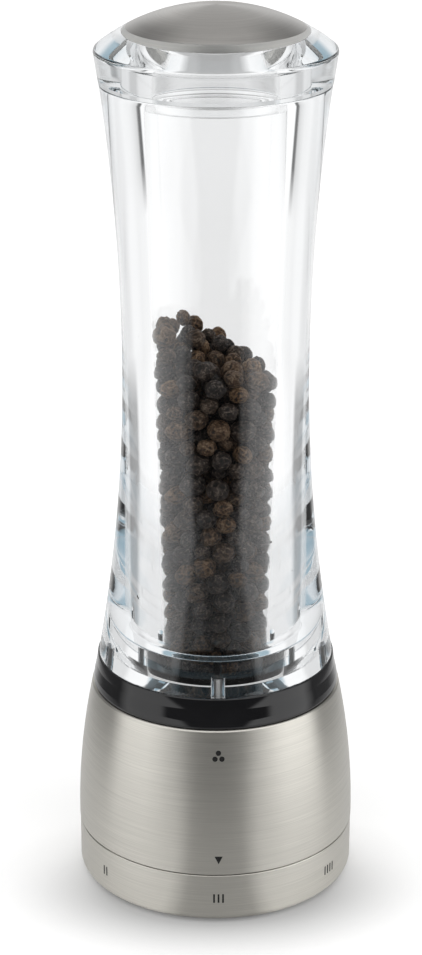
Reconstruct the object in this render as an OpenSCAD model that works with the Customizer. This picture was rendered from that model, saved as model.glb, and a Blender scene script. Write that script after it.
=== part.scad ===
// Pepper mill with a clear waisted body, a conical burr and a ring that sets the grind.
// Millimetres, +Z up, origin on the axis at the surface that the mill stands on, front towards -Y.

/* [Overall] */
// Height of the whole mill
mill_h = 210; // [206:0.5:216]
// Radius of the dome that tops the lid
dome_r = 43; // [40:0.5:48]
// Height of the seam between body and lid
seam_z = 193; // [190:0.5:194]

/* [Clear body] */
// Radius of the body at its waist
waist_r = 21.45; // [21:0.05:22.5]
// Height of the waist
waist_z = 128; // [120:1:134]
// Radius of the long arc above the waist
upper_arc_r = 480; // [460:5:560]
// Radius of the long arc below the waist
lower_arc_r = 412; // [400:2:430]
// Height of the body's foot, where it meets the collar
foot_z = 55.9; // [55.5:0.1:56.2]
// Radius of the bore at its lower end
bore_r = 13; // [12:0.1:13.2]
// Growth of the bore's radius for each millimetre of height
bore_taper = 0.0208; // [0.01:0.0002:0.021]

/* [Lid] */
// Radius of the steel disc in the lid
cap_r = 19.85; // [17:0.05:21]
// Thickness of the steel disc
cap_t = 0.7; // [0.5:0.1:1]
// Outer radius of the lid at its shoulder
lid_r = 27; // [26.5:0.1:27.5]
// Depth of the plug below the seam
plug_h = 3.5; // [3:0.5:6]

/* [Base] */
// Radius of the setting ring
ring_r = 33; // [33:0.1:33.4]
// Height of the setting ring's top edge
ring_top = 12.6; // [12.2:0.1:12.6]
// Height of the steel shell's top edge
shell_top = 48.5; // [48:0.1:48.5]
// Radius of the shell's bulging arc
shell_arc_r = 165; // [160:1:175]
// Thickness of the sheet steel
sheet_t = 0.8; // [0.6:0.1:0.8]
// Number of grind settings on the setting ring
settings = 6; // [5,6]
// Angle from one setting to the next, in degrees
setting_step = 54; // [50:1:60]

/* [Grinder] */
// Teeth on the lower part of the turning burr
rotor_teeth = 18; // [15:1:21]
// Flutes that pull the corns in, on the upper part of the turning burr
rotor_flutes = 6; // [5:1:7]
// Teeth in the fixed burr ring
stator_teeth = 24; // [20:1:28]
// Width of the square spindle
spindle_w = 5; // [4.6:0.1:5]
// Turns of the burr spring
spring_turns = 8; // [6:1:9]
// Number of pins that key the body to the collar
pin_count = 5; // [3:1:5]
// Slope of the heap of peppercorns, in degrees
heap_slope = 16; // [0:1:24]

/* [Hidden] */
$fn = 96;

// Running gap on a radius, and the facets of a small hole
run_gap = 0.05;
hole_fn = 32;

// Dome
dome_z = mill_h - dome_r;
cap_skirt_z = 202.4;
cap_edge = 0.25;
lid_gap = 0.05;
lid_foot_r = 25.95;
lid_corner = 1.2;
lid_hollow_r = 13.85;
lid_hollow_top = 199.3;
lid_hollow_round = 1.5;
plug_r = bore_at(seam_z - plug_h) - 0.25;
lid_seal_r = 0.5;
lid_seal_z = seam_z - 1.3;
lid_groove_r = plug_r - 0.75;

// Body
spigot_z = 50.8;
spigot_r = 20;
counterbore_r = 17;
counterbore_top = 61.3;
seal_z = 53.2;
seal_r = 0.65;
groove_r = spigot_r - 1.2;
pin_circle_r = 24.5;
pin_r = 1.45;
pin_hole_top = 60.2;
pin_foot_z = 50.2;

// Collar
collar_top_r = 28.05;
collar_r = 29.2;
collar_foot_z = 48.7;
collar_step_z = 47.35;
collar_step_r = 28.1;
socket_z = 49.9;
socket_r = spigot_r + 0.15;
sleeve_r = 24.25;
sleeve_in_r = counterbore_r;
sleeve_z = 39.7;
retainer_h = 3;
retainer_r = 26;
retainer_screw_r = 21.3;

// Hopper
cup_r = 16.7;
cup_wall = 1.6;
cup_in_r = cup_r - cup_wall;
cup_top = 61;
cup_ribs = 12;
window_w = 7;
window_z = 56.4;
ledge_z = 44;
ledge_in_r = cup_in_r - 0.9;
throat_z = 30;
throat_r = 12.2;
guard_top = 24;
guard_foot = 18.5;
spider_h = 3.5;
spider_hub_r = 5.5;

// Housing
barrel_r = 28;
barrel_in_r = 26.4;
barrel_top = 46.5;
flange_z = 12.7;
flange_t = 2;
web_top = 15.7;
web_in_r = counterbore_r + 0.6;
bearing_z = 40;
bearing_h = 3;
skirt_r = 25;
skirt_in_r = 23.4;
skirt_foot = 2;
boss_circle_r = 21.8;
boss_r = 2.2;
screw_r = 1;
screw_hole_r = screw_r + run_gap;
screw_head_r = 2;
screw_head_h = 1;
arms = 3;
arm_w = 4.4;
arm_angle = 90;
boss_angle = arm_angle + 60;
slot_w = 5;
slot_top = 10.5;
plate_foot = 0.6;
foot_sunk_z = 1.1;

// Burrs
stator_foot = 8.5;
stator_top = 21;
stator_top_r = 10.4;
stator_foot_r = 13.2;
stator_flange_r = 21.5;
stator_flange_h = 1.5;
stator_body_r = counterbore_r + 0.5;
stator_screw_r = 19.3;
rotor_foot = 8.6;
rotor_mid = 14;
rotor_top = 24;
washer_t = 0.6;
clip_r = 2.25;
clip_z = 49.05;
clip_t = 0.7;
tooth_depth = 0.9;
tooth_slant = 14;

// Bridge, setting ring and click spring
bridge_z = 3;
bridge_h = 5;
bridge_r = 27.7;
bridge_in_r = 25.4;
hub_r = 5.5;
hub_z = 1.6;
hub_top = 7.4;
ball_r = 1.25;
ball_z = 3.65;
liner_r = 28;
ring_fillet = 2.4;
ring_wall = 0.9;
ring_in_r = ring_r - 3.5;
shown_setting = 2;
click_z = 8.9;
click_h = 1.9;
click_half = 24;
click_in = 25.35;
click_rise = 3;
click_t = 0.4;
notch_r = 6;
notch_reach = 0.9;

function bore_at(z) = bore_r + bore_taper * (z - 58);
function waisted(z) = let(R = z > waist_z ? upper_arc_r : lower_arc_r)
    waist_r + R - sqrt(R * R - (z - waist_z) * (z - waist_z));
function shell_at(z) = ring_r + 0.1 - shell_arc_r + sqrt(pow(shell_arc_r, 2) - pow(z - 14, 2));
function arc(cx, cz, r, a0, a1, n) =
    [for (i = [0:n]) let(a = a0 + (a1 - a0) * i / n) [cx + r * cos(a), cz + r * sin(a)]];
function reversed(list) = [for (i = [len(list) - 1:-1:0]) list[i]];

module ring(r_out, r_in, z, h) {
    translate([0, 0, z]) difference() {
        cylinder(r = r_out, h = h);
        translate([0, 0, -1]) cylinder(r = r_in, h = h + 2);
    }
}

module around(count, first = 0) {
    for (i = [0:count - 1]) rotate([0, 0, first + i * 360 / count]) children();
}

module torus(r, tube, z) {
    translate([0, 0, z]) rotate_extrude() translate([r, 0]) circle(r = tube, $fn = 32);
}

// Clearance hole for a screw, from z = 0 up, with a countersink at its foot where a depth is given.
module screw_hole(h, sink_h = 0) {
    cylinder(r = screw_hole_r, h = h, $fn = hole_fn);
    if (sink_h > 0) cylinder(r1 = screw_head_r + 0.2, r2 = screw_hole_r, h = sink_h, $fn = hole_fn);
}

// Countersunk screw, head down at z = 0, point up, with a slot across its head.
module screw(length) {
    difference() {
        union() {
            cylinder(r1 = screw_head_r, r2 = screw_r, h = screw_head_h, $fn = hole_fn);
            cylinder(r = screw_r, h = length, $fn = hole_fn);
        }
        translate([-0.25, -2.5, -1]) cube([0.5, 5, 1.5]);
    }
}

module base_shell() {
    lip = 0.5;
    lip_z = shell_top - lip;
    foot = ring_top + 0.3;
    heights = [for (i = [0:14]) foot + (lip_z - foot) * i / 14];
    color("silver") union() {
        rotate_extrude() polygon(concat(
            [for (z = heights) [shell_at(z), z]],
            [for (z = reversed(heights)) [shell_at(z) - sheet_t, z]]));
        torus(shell_at(lip_z) - lip, lip, lip_z);
    }
}

module base_housing() {
    plate_r = shell_at(14) - sheet_t - run_gap;
    color("black") difference() {
        union() {
            rotate_extrude() polygon([
                [skirt_in_r, skirt_foot], [skirt_r, skirt_foot], [skirt_r, flange_z],
                [plate_r, flange_z], [plate_r, flange_z + flange_t], [barrel_r, flange_z + flange_t],
                [barrel_r, barrel_top], [barrel_in_r, barrel_top],
                [barrel_in_r, bearing_z + bearing_h], [sleeve_r + run_gap, bearing_z + bearing_h],
                [sleeve_r + run_gap, bearing_z], [barrel_in_r, bearing_z],
                [barrel_in_r, web_top], [web_in_r, web_top],
                [web_in_r, flange_z], [skirt_in_r, flange_z]]);
            around(arms, boss_angle) translate([boss_circle_r, 0, skirt_foot])
                cylinder(r = boss_r, h = flange_z - skirt_foot + 1);
        }
        around(arms, arm_angle) translate([skirt_in_r - 1, -slot_w / 2, skirt_foot - 1])
            cube([3.5, slot_w, slot_top - skirt_foot + 1]);
        around(arms, boss_angle) {
            translate([boss_circle_r, 0, skirt_foot - 1]) screw_hole(10);
            translate([stator_screw_r, 0, flange_z - 0.9]) screw_hole(5);
        }
    }
}

// Straight cutter for one tooth space: a V along a line that leans with the cone and slants round it.
module tooth_cutter(r_low, z_low, r_high, z_high, depth, half_w, outward) {
    length = sqrt(pow(r_high - r_low, 2) + pow(z_high - z_low, 2));
    lean = atan2(r_high - r_low, z_high - z_low);
    side = outward ? 1 : -1;
    translate([(r_low + r_high) / 2, 0, (z_low + z_high) / 2]) rotate([tooth_slant, lean, 0])
        translate([0, 0, -length]) linear_extrude(height = 2 * length)
            polygon([[-side * depth, 0], [side * 1.2, half_w], [side * 1.2, -half_w]]);
}

module burr_ring() {
    flange_z1 = web_top + stator_flange_h;
    neck_r = cup_r - 1.3;
    color("dimgray") difference() {
        rotate_extrude() polygon([
            [stator_foot_r, stator_foot], [stator_body_r, stator_foot],
            [stator_body_r, web_top], [stator_flange_r, web_top],
            [stator_flange_r, flange_z1], [neck_r, flange_z1],
            [neck_r, stator_top], [stator_top_r, stator_top]]);
        around(stator_teeth) tooth_cutter(stator_foot_r, stator_foot, stator_top_r, stator_top,
            tooth_depth, 0.9, false);
        around(arms, boss_angle) translate([stator_screw_r, 0, flange_z1]) rotate([180, 0, 0])
            translate([0, 0, -0.1]) screw_hole(4, screw_head_h + 0.2);
    }
}

module burr_screws() {
    color("gray") around(arms, boss_angle)
        translate([stator_screw_r, 0, web_top + stator_flange_h]) rotate([180, 0, 0]) screw(5);
}

module bottom_plate() {
    color("black") difference() {
        ring(ring_r - 3.8, counterbore_r, plate_foot, skirt_foot - plate_foot);
        ring(bridge_r, bridge_in_r - 0.1, 0.5, foot_sunk_z - 0.5);
        around(arms, boss_angle) translate([boss_circle_r, 0, plate_foot - 0.1])
            screw_hole(2, screw_head_h + 0.2);
    }
}

module bottom_screws() {
    color("gray") around(arms, boss_angle)
        translate([boss_circle_r, 0, plate_foot + run_gap]) screw(8);
}

module foot_ring() {
    out_r = bridge_r - 0.1;
    edge = 0.3;
    color("dimgray") rotate_extrude() polygon([
        [bridge_in_r, foot_sunk_z], [bridge_in_r, edge], [bridge_in_r + edge, 0],
        [out_r - edge, 0], [out_r, edge], [out_r, foot_sunk_z]]);
}

// Leaf spring: a strip that bows out from the skirt so that its middle drops into a notch.
module click_spring() {
    angles = [for (i = [-12:12]) i * click_half / 12];
    function mid_r(a) = click_in + click_rise * (1 + cos(180 * a / click_half)) / 2;
    function strip(a, r) = [r * cos(a - 90), r * sin(a - 90)];
    color("silver") translate([0, 0, click_z]) linear_extrude(height = click_h) polygon(concat(
        [for (a = angles) strip(a, mid_r(a) + click_t / 2)],
        [for (a = reversed(angles)) strip(a, mid_r(a) - click_t / 2)]));
}

module glide_washer() {
    color("ivory") ring(barrel_r, barrel_in_r, barrel_top, 0.8);
}

module setting_ring() {
    edge = 0.3;
    corner = ring_r - ring_fillet;
    color("silver") rotate_extrude() polygon(concat(
        arc(corner, plate_foot + ring_fillet, ring_fillet, -90, 0, 10),
        arc(ring_r - edge, ring_top - edge, edge, 0, 90, 4),
        [[ring_r - ring_wall, ring_top]],
        arc(corner, plate_foot + ring_fillet, ring_fillet - ring_wall, 0, -90, 8),
        [[ring_in_r, plate_foot + ring_wall], [ring_in_r, plate_foot]]));
}

module setting_ring_liner() {
    seat_z = plate_foot + ring_wall;
    wall = ring_wall + run_gap;
    foot = skirt_foot + 0.3;
    top = 11;
    color("black") difference() {
        rotate_extrude() polygon(concat(
            [[liner_r, foot], [ring_in_r, foot], [ring_in_r, seat_z]],
            arc(ring_r - ring_fillet, plate_foot + ring_fillet, ring_fillet - wall, -90, 0, 8),
            [[ring_r - wall, top], [liner_r, top]]));
        for (i = [0:settings - 1]) rotate([0, 0, -90 + (i - shown_setting) * setting_step])
            translate([liner_r + notch_reach - notch_r, 0, click_z - 0.2]) cylinder(r = notch_r, h = 4);
    }
}

module bridge() {
    color("whitesmoke") difference() {
        union() {
            translate([0, 0, hub_z]) cylinder(r = hub_r, h = hub_top - hub_z);
            ring(bridge_r, bridge_in_r, bridge_z, bridge_h);
            around(arms, arm_angle) translate([hub_r - 1.2, -arm_w / 2, bridge_z + 0.2])
                cube([bridge_in_r - hub_r + 2.2, arm_w, 3]);
        }
        translate([0, 0, ball_z - ball_r]) cylinder(r = spindle_w / 2 + run_gap, h = hub_top);
    }
}

module thrust_ball() {
    color("silver") translate([0, 0, ball_z]) sphere(r = ball_r, $fn = 48);
}

module collar() {
    color("black") difference() {
        rotate_extrude() polygon([
            [socket_r, foot_z], [collar_top_r - 0.25, foot_z], [collar_top_r, foot_z - 0.3],
            [collar_top_r + 0.35, foot_z - 2.7], [collar_r - 0.2, collar_foot_z + 1.9],
            [collar_r, collar_foot_z + 0.6], [collar_r - 0.1, collar_foot_z],
            [collar_step_r, collar_foot_z], [collar_step_r, collar_step_z],
            [sleeve_r, collar_step_z], [sleeve_r, sleeve_z], [sleeve_in_r, sleeve_z],
            [sleeve_in_r, socket_z], [socket_r, socket_z]]);
        around(pin_count, -90) translate([pin_circle_r, 0, pin_foot_z])
            cylinder(r = pin_r + run_gap, h = 8);
        around(arms, arm_angle) translate([retainer_screw_r, 0, sleeve_z - 1]) screw_hole(6);
    }
}

module hopper() {
    flange_r = spigot_r - 0.1;
    color("black") difference() {
        rotate_extrude() polygon([
            [cup_in_r, cup_top], [cup_r, cup_top], [cup_r, spigot_z], [flange_r, spigot_z],
            [flange_r, socket_z], [cup_r, socket_z], [cup_r, ledge_z],
            [throat_r + cup_wall, throat_z], [throat_r + cup_wall, guard_top], [cup_r, guard_top],
            [cup_r, guard_foot], [cup_r - 1, guard_foot], [cup_r - 1, guard_top - cup_wall],
            [throat_r, guard_top - cup_wall], [throat_r, throat_z], [ledge_in_r, ledge_z],
            [cup_in_r, ledge_z]]);
        around(cup_ribs, 180 / cup_ribs) translate([cup_in_r - 2, -window_w / 2, window_z])
            cube([5, window_w, cup_top - window_z + 1]);
    }
}

module drive_spider() {
    out_r = cup_in_r - run_gap;
    rim = 1.2;
    arm = 2.4;
    square_w = spindle_w + 0.15;
    color("whitesmoke") difference() {
        union() {
            ring(out_r, out_r - rim, ledge_z, spider_h);
            translate([0, 0, ledge_z]) cylinder(r = spider_hub_r, h = spider_h);
            around(arms) translate([spider_hub_r - 1, -arm / 2, ledge_z])
                cube([out_r - rim - spider_hub_r + 1.6, arm, spider_h]);
        }
        translate([-square_w / 2, -square_w / 2, ledge_z - 1]) cube([square_w, square_w, spider_h + 2]);
    }
}

module drive_pins() {
    color("white") around(pin_count, -90) translate([pin_circle_r, 0, pin_foot_z])
        cylinder(r = pin_r, h = pin_hole_top - 0.2 - pin_foot_z);
}

module retaining_ring() {
    color("black") difference() {
        ring(retainer_r, sleeve_in_r + 1.5, sleeve_z - retainer_h, retainer_h);
        around(arms, arm_angle) translate([retainer_screw_r, 0, sleeve_z - retainer_h - 0.1])
            screw_hole(5, screw_head_h + 0.3);
    }
}

module retaining_screws() {
    color("gray") around(arms, arm_angle)
        translate([retainer_screw_r, 0, sleeve_z - retainer_h + 0.1]) screw(7);
}

module body_tube() {
    heights = [for (i = [0:34]) foot_z + (seam_z - foot_z) * i / 34];
    edge = 0.3;
    color("lightcyan", 0.3) difference() {
        rotate_extrude() polygon(concat(
            [[counterbore_r, spigot_z], [spigot_r, spigot_z], [spigot_r, seal_z - seal_r],
             [groove_r, seal_z - seal_r], [groove_r, seal_z + seal_r],
             [spigot_r, seal_z + seal_r], [spigot_r, foot_z]],
            [for (z = heights) [waisted(z) - (z == seam_z ? edge : 0), z]],
            [[bore_at(seam_z), seam_z], [bore_at(counterbore_top), counterbore_top],
             [counterbore_r, counterbore_top]]));
        around(pin_count, -90) translate([pin_circle_r, 0, foot_z - 1])
            cylinder(r = pin_r + 0.1, h = pin_hole_top - foot_z + 1);
    }
}

module body_seal() {
    slack = 0.01;
    color("dimgray") torus(groove_r + seal_r + slack, seal_r - slack, seal_z);
}

// Heap in the bore: round like the bore, with a slanting top that is high at the back left.
module peppercorns() {
    low = 51.8;
    heap_z = 132;
    top = heap_z + 12;
    gap = 0.3;
    color("saddlebrown") difference() {
        rotate_extrude() polygon([
            [0, low], [cup_in_r - gap, low], [cup_in_r - gap, cup_top - 1],
            [bore_at(counterbore_top) - gap, cup_top - 1], [bore_at(top) - gap, top], [0, top]]);
        translate([0, 0, heap_z]) rotate([0, 0, -35]) rotate([0, heap_slope, 0])
            translate([-40, -40, 0]) cube([80, 80, 40]);
    }
}

module hopper_peppercorns() {
    in_r = 6.4;
    gap = 0.3;
    low = throat_z - 4;
    top = ledge_z - 0.4;
    color("saddlebrown") rotate_extrude() polygon([
        [in_r, low], [throat_r - gap, low], [throat_r - gap, throat_z],
        [ledge_in_r - gap - 0.1, top], [in_r, top]]);
}

// Round-wire coil between the washer and the spider, with closed ends.
module burr_spring() {
    wire = 0.4;
    coil_r = 4.6;
    low = rotor_top + washer_t + wire;
    high = ledge_z - wire;
    per_turn = 20;
    sides = 8;
    steps = spring_turns * per_turn;
    function centre(i) = let(a = 360 * i / per_turn) [coil_r * cos(a), coil_r * sin(a),
        low + (high - low) * (i / steps)];
    function rim(i, j) = let(a = 360 * i / per_turn, b = 360 * j / sides)
        centre(i) + wire * [cos(a) * cos(b), sin(a) * cos(b), sin(b)];
    color("silver") polyhedron(
        points = [for (i = [0:steps]) for (j = [0:sides - 1]) rim(i, j)],
        faces = concat(
            [for (i = [0:steps - 1]) for (j = [0:sides - 1]) let(k = (j + 1) % sides)
                [i * sides + j, i * sides + k, (i + 1) * sides + k, (i + 1) * sides + j]],
            [[for (j = [sides - 1:-1:0]) j]],
            [[for (j = [0:sides - 1]) steps * sides + j]]));
}

module rotor_burr() {
    low_r = 12.6;
    mid_r = 11.4;
    top_r = 6;
    edge = 0.4;
    hole = spindle_w + 0.1;
    color("dimgray") difference() {
        rotate_extrude() polygon([[0, rotor_foot], [low_r - edge, rotor_foot], [low_r, rotor_foot + edge],
            [mid_r, rotor_mid], [mid_r - edge, rotor_mid + 0.2], [top_r, rotor_top], [0, rotor_top]]);
        around(rotor_teeth) tooth_cutter(low_r, rotor_foot, mid_r, rotor_mid, tooth_depth, 1, true);
        around(rotor_flutes, 7) translate([0, 0, 1.6])
            tooth_cutter(mid_r, rotor_mid + 2, top_r, rotor_top, 2.4, 3.2, true);
        translate([-hole / 2, -hole / 2, 0]) cube([hole, hole, rotor_top + 1]);
    }
}

module spindle() {
    shoulder_z = rotor_foot - 1;
    top = 50.6;
    color("lightgray") difference() {
        union() {
            translate([0, 0, ball_z + ball_r + 0.1]) cylinder(r = spindle_w / 2, h = 3);
            translate([0, 0, shoulder_z]) cylinder(r = 4.5, h = 1);
            translate([-spindle_w / 2, -spindle_w / 2, shoulder_z + 0.4])
                cube([spindle_w, spindle_w, top - shoulder_z - 0.4]);
        }
        ring(5, clip_r - run_gap, clip_z - 0.1, clip_t + 0.2);
    }
}

module spring_washer() {
    color("silver") ring(5.8, 3.7, rotor_top, washer_t);
}

module circlip() {
    color("silver") difference() {
        ring(4.6, clip_r, clip_z, clip_t);
        translate([0, -1.6, clip_z - 1]) cube([6, 3.2, 3]);
    }
}

module lid() {
    low = seam_z + lid_gap;
    corner_z = dome_z + sqrt(pow(dome_r - lid_corner, 2) - pow(lid_r - lid_corner, 2));
    corner_end = atan2(corner_z - dome_z, lid_r - lid_corner);
    rim_end = acos((cap_r + run_gap) / dome_r);
    groove = lid_seal_r + run_gap;
    color("lightcyan", 0.3) rotate_extrude() polygon(concat(
        [[lid_hollow_r, seam_z - plug_h], [plug_r - 0.2, seam_z - plug_h], [plug_r, seam_z - plug_h + 0.2],
         [plug_r, lid_seal_z - groove], [lid_groove_r, lid_seal_z - groove],
         [lid_groove_r, lid_seal_z + groove], [plug_r, lid_seal_z + groove], [plug_r, low],
         [lid_foot_r - 0.3, low], [lid_foot_r, low + 0.3]],
        arc(lid_r - lid_corner, corner_z, lid_corner, 0, corner_end, 6),
        arc(0, dome_z, dome_r, corner_end, rim_end, 8),
        [[cap_r + run_gap, cap_skirt_z], [0, cap_skirt_z], [0, lid_hollow_top]],
        arc(lid_hollow_r - lid_hollow_round, lid_hollow_top - lid_hollow_round, lid_hollow_round, 90, 0, 6)));
}

module lid_seal() {
    color("whitesmoke") torus(lid_groove_r + lid_seal_r, lid_seal_r, lid_seal_z);
}

module cap() {
    rim_a = acos((cap_r - cap_edge) / dome_r);
    in_a = acos((cap_r - cap_t) / (dome_r - cap_t));
    rim_z = dome_z + dome_r * sin(rim_a);
    color("gray") rotate_extrude() polygon(concat(
        arc(0, dome_z, dome_r, 90, rim_a, 20),
        [[cap_r, rim_z - cap_edge], [cap_r, cap_skirt_z], [cap_r - cap_t, cap_skirt_z]],
        arc(0, dome_z, dome_r - cap_t, in_a, 90, 20)));
}

base_shell();
base_housing();
burr_ring();
burr_screws();
bottom_plate();
bottom_screws();
foot_ring();
click_spring();
glide_washer();
setting_ring();
setting_ring_liner();
bridge();
thrust_ball();
collar();
hopper();
drive_spider();
drive_pins();
retaining_ring();
retaining_screws();
body_tube();
body_seal();
peppercorns();
hopper_peppercorns();
burr_spring();
rotor_burr();
spindle();
spring_washer();
circlip();
lid();
lid_seal();
cap();
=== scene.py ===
"""Looks of the clear pepper mill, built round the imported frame.

Metres, Z up, front towards -Y. Lathe outlines are written in millimetres and scaled by MM.
"""
import math

import bmesh
import bpy
import numpy as np
from mathutils import Matrix, Vector


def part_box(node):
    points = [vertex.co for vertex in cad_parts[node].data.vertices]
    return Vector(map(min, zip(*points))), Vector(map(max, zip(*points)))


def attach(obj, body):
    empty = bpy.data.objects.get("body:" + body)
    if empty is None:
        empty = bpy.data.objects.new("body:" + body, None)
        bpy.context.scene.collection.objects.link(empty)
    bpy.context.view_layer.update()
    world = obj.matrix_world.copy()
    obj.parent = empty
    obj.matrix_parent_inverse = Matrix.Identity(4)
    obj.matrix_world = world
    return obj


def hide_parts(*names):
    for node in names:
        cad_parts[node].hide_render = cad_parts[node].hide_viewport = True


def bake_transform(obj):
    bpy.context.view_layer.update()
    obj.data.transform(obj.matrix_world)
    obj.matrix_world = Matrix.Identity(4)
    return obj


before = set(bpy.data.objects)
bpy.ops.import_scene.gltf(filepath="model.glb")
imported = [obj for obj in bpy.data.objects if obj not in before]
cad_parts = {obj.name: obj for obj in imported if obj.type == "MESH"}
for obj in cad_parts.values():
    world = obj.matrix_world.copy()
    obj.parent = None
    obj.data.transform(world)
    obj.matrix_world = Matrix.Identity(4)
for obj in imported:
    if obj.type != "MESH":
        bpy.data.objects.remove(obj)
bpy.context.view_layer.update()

MM = 0.001


def low(node):
    """Lowest height of a CAD node, in mm."""
    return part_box(node)[0].z / MM


def high(node):
    """Highest height of a CAD node, in mm."""
    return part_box(node)[1].z / MM


def radius(node):
    """Largest radius of a CAD node, in mm."""
    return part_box(node)[1].x / MM


# ---------------------------------------------------------------- sizes, in mm

DOME_R = 43.0  # one dome runs over the cap and the lid's bevel
DOME_Z = high("cap") - DOME_R
CAP_R = radius("cap")
CAP_SKIRT_Z = low("cap")
SEAM_Z = high("body_tube")
LID_R = radius("lid")
LID_LOW_R = 25.95
PLUG_Z = low("lid")
LID_HOLLOW_R = 13.85
LID_HOLLOW_TOP = 199.3
WAIST_R = 21.45
WAIST_Z = 128.0
UPPER_ARC_R = 480.0
LOWER_ARC_R = 412.0
BORE_R = 13.0  # at BORE_Z, and BORE_TAPER wider for each mm above it
BORE_Z = 58.0
BORE_TAPER = 0.0208
FOOT_Z = high("collar")
SPIGOT_Z = low("body_tube")
SPIGOT_R = 20.0
COUNTERBORE_R = 17.0
COUNTERBORE_TOP = 61.3
PIN_CIRCLE_R = 24.5
PIN_HOLE_R = 1.55
PIN_HOLE_TOP = high("drive_pins") + 0.2
PINS = 5
RING_R = radius("setting_ring")
RING_LOW = low("setting_ring")
RING_TOP = high("setting_ring")
SHELL_LOW = low("base_shell")
SHELL_TOP = high("base_shell")
SHELL_ARC_R = 165.0
SHELL_R = RING_R + 0.1  # at SHELL_WIDE_Z, where the arc of the shell's side is widest
SHELL_WIDE_Z = 14.0
SEAL_Z = (low("body_seal") + high("body_seal")) / 2
PLUG_SEAL_Z = (low("lid_seal") + high("lid_seal")) / 2
SETTINGS = 6
SHOWN_SETTING = 3  # the one that stands at the front
SETTING_STEP = 54.0  # degrees
LATHE_STEPS = 256
CURVE_STOP = 1.2  # how far short of the next fillet the clear body's curves stop
FRONT = -90.0  # degrees round the axis
AIR = 0.06  # gap left between clear solids and what touches them
GLUED = 0.02  # depth that the cap's edge is set into the lid, so that no air shows between them
EDGE_STEEPNESS = 0.4  # the cap's faces whose normals rise less than this belong to its edge, which gets a lighter copy of its steel as painted light


# ---------------------------------------------------------------- shapes


def bore_at(z):
    """Radius of the clear body's bore at a height."""
    return BORE_R + BORE_TAPER * (z - BORE_Z)


def waisted(z):
    """Outer radius of the clear body at a height."""
    arc = UPPER_ARC_R if z > WAIST_Z else LOWER_ARC_R
    return WAIST_R + arc - math.sqrt(arc**2 - (z - WAIST_Z) ** 2)


def shell_at(z):
    """Outer radius of the base's shell at a height."""
    return SHELL_R - SHELL_ARC_R + math.sqrt(SHELL_ARC_R**2 - (z - SHELL_WIDE_Z) ** 2)


def dome_at(r, drop=0.0):
    """Height of the dome at a radius, or of a smaller dome inside it."""
    return DOME_Z + math.sqrt((DOME_R - drop) ** 2 - r**2)


def point_at(r, z, turn):
    """A point in metres, from its radius and height in mm and its turn round the axis in radians."""
    return (r * MM * math.cos(turn), r * MM * math.sin(turn), z * MM)


def spaced(start, end, count):
    """Evenly spaced values that divide a stretch into count steps."""
    return [start + (end - start) * i / count for i in range(count + 1)]


def rounded(points, steps=5):
    """A closed outline of (r, z) or (r, z, fillet) points, with each fillet drawn as an arc."""
    out = []
    count = len(points)
    for i, point in enumerate(points):
        if len(point) == 2 or point[2] <= 0:
            out.append(point[:2])
            continue
        here = Vector(point[:2])
        back = Vector(points[i - 1][:2]) - here
        ahead = Vector(points[(i + 1) % count][:2]) - here
        half = back.angle(ahead) / 2
        reach = min(point[2] / math.tan(half), 0.45 * back.length, 0.45 * ahead.length)
        fillet = reach * math.tan(half)
        middle = (back.normalized() + ahead.normalized()).normalized()
        centre = here + middle * (fillet / math.sin(half))
        start = here + back.normalized() * reach - centre
        end = here + ahead.normalized() * reach - centre
        turn = start.angle_signed(end)
        for k in range(steps + 1):
            out.append(tuple(centre + Matrix.Rotation(-turn * k / steps, 2) @ start))
    return out


def new_object(name, mesh):
    piece = bpy.data.objects.new(name, mesh)
    bpy.context.scene.collection.objects.link(piece)
    return piece


def finish_mesh(build, mesh):
    """Turns the faces outwards and writes them to the mesh."""
    bmesh.ops.recalc_face_normals(build, faces=build.faces)
    build.to_mesh(mesh)
    build.free()


def shade(mesh, angle=32.0):
    """Smooth faces, with an edge kept where two meet at more than the angle."""
    mesh.polygons.foreach_set("use_smooth", [True] * len(mesh.polygons))
    mesh.set_sharp_from_angle(angle=math.radians(angle))


def band(build, a, b):
    """Joins two rings of points with a band of faces."""
    for k in range(len(a)):
        m = (k + 1) % len(a)
        build.faces.new((a[k], a[m], b[m], b[k]))


def lathe(name, outline, steps=LATHE_STEPS):
    """A closed solid of revolution from a closed outline in mm, r first."""
    mesh = bpy.data.meshes.new(name)
    build = bmesh.new()
    rings = []
    for r, z in outline:
        if r < 1e-6:
            rings.append([build.verts.new((0, 0, z * MM))])
            continue
        rings.append([build.verts.new(point_at(r, z, 2 * math.pi * k / steps)) for k in range(steps)])
    for i, a in enumerate(rings):
        b = rings[(i + 1) % len(rings)]
        if len(a) == 1 and len(b) == 1:
            continue
        if len(a) > 1 and len(b) > 1:
            band(build, a, b)
            continue
        for k in range(steps):
            m = (k + 1) % steps
            build.faces.new((a[0], b[m], b[k]) if len(a) == 1 else (a[k], a[m], b[0]))
    finish_mesh(build, mesh)
    shade(mesh)
    return new_object(name, mesh)


def square_groove(r, depth, z, half):
    """Points of a groove turned into a wall of radius r, from below. Half is half its height."""
    return [(r, z - half), (r - depth, z - half), (r - depth, z + half), (r, z + half)]


def cut(piece, cutters):
    """Subtracts the cutters from the piece for good, and removes them."""
    for cutter in cutters:
        boolean = piece.modifiers.new("cut", "BOOLEAN")
        boolean.operation = "DIFFERENCE"
        boolean.solver = "EXACT"
        boolean.object = cutter
    bpy.context.view_layer.update()
    done = bpy.data.meshes.new_from_object(piece.evaluated_get(bpy.context.evaluated_depsgraph_get()))
    piece.modifiers.clear()
    piece.data = done
    for cutter in cutters:
        bpy.data.objects.remove(cutter)
    shade(done)
    return piece


def round_pin(name, x, y, r, z0, z1, steps=40):
    """An upright cylinder off the axis, for a cutter."""
    pin = lathe(name, [(0, z0), (r, z0), (r, z1), (0, z1)], steps)
    pin.data.transform(Matrix.Translation((x * MM, y * MM, 0)))
    return pin


# ---------------------------------------------------------------- shader nodes


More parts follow.
